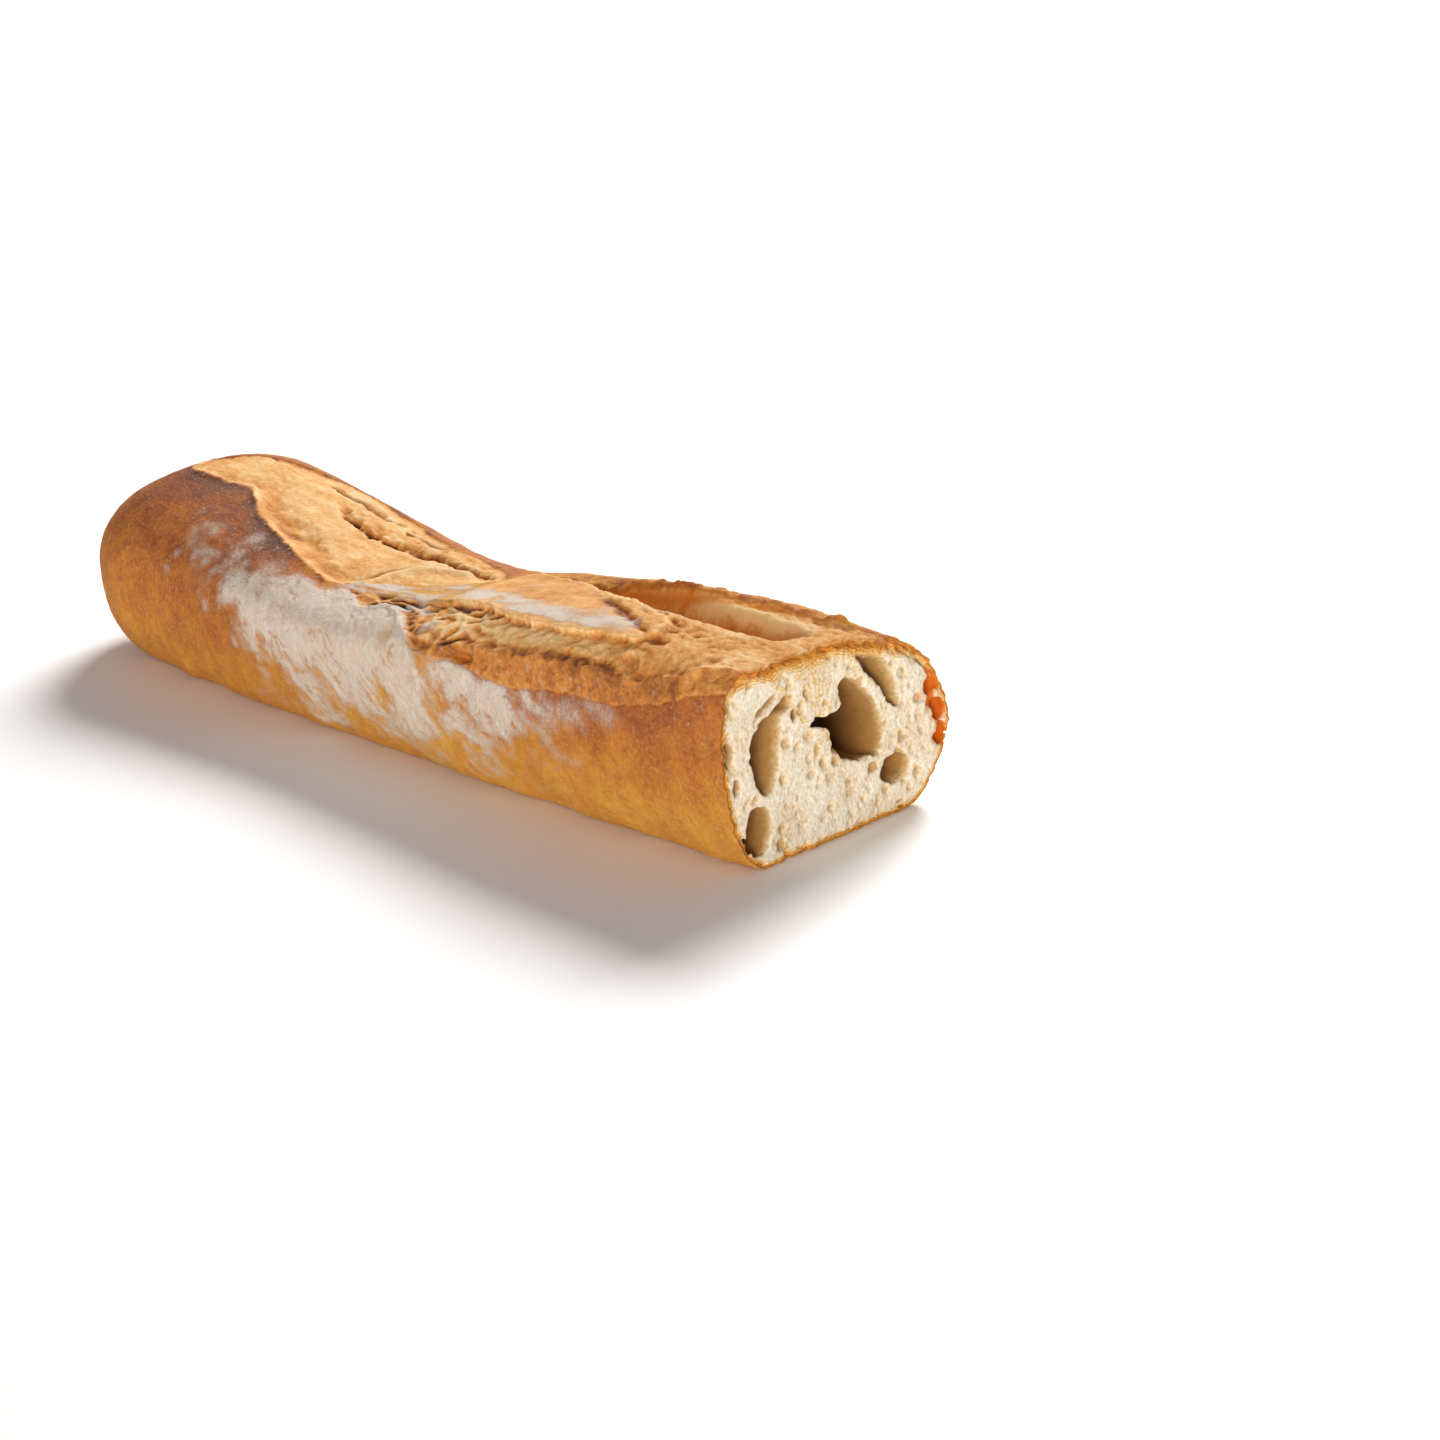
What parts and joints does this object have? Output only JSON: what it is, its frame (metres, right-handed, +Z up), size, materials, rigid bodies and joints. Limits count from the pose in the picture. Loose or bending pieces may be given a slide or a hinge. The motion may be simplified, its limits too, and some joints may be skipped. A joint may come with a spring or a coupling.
{
  "type": "cut baguette",
  "caption": "Baguette with one rounded end and one cut end that shows open crumb, lying on its flat underside.",
  "frame": {"origin": "middle of the loaf's box, at the height of the flat underside that it rests on", "axes": "+X along the loaf towards the cut face, +Y across it towards the lower, rounder side, +Z up through the crown"},
  "size_m": [0.23, 0.0762, 0.0484],
  "materials": {
    "crust": "matte"
  },
  "bodies": {
    "root": {"loaf": "crust"}
  },
  "joints": []
}
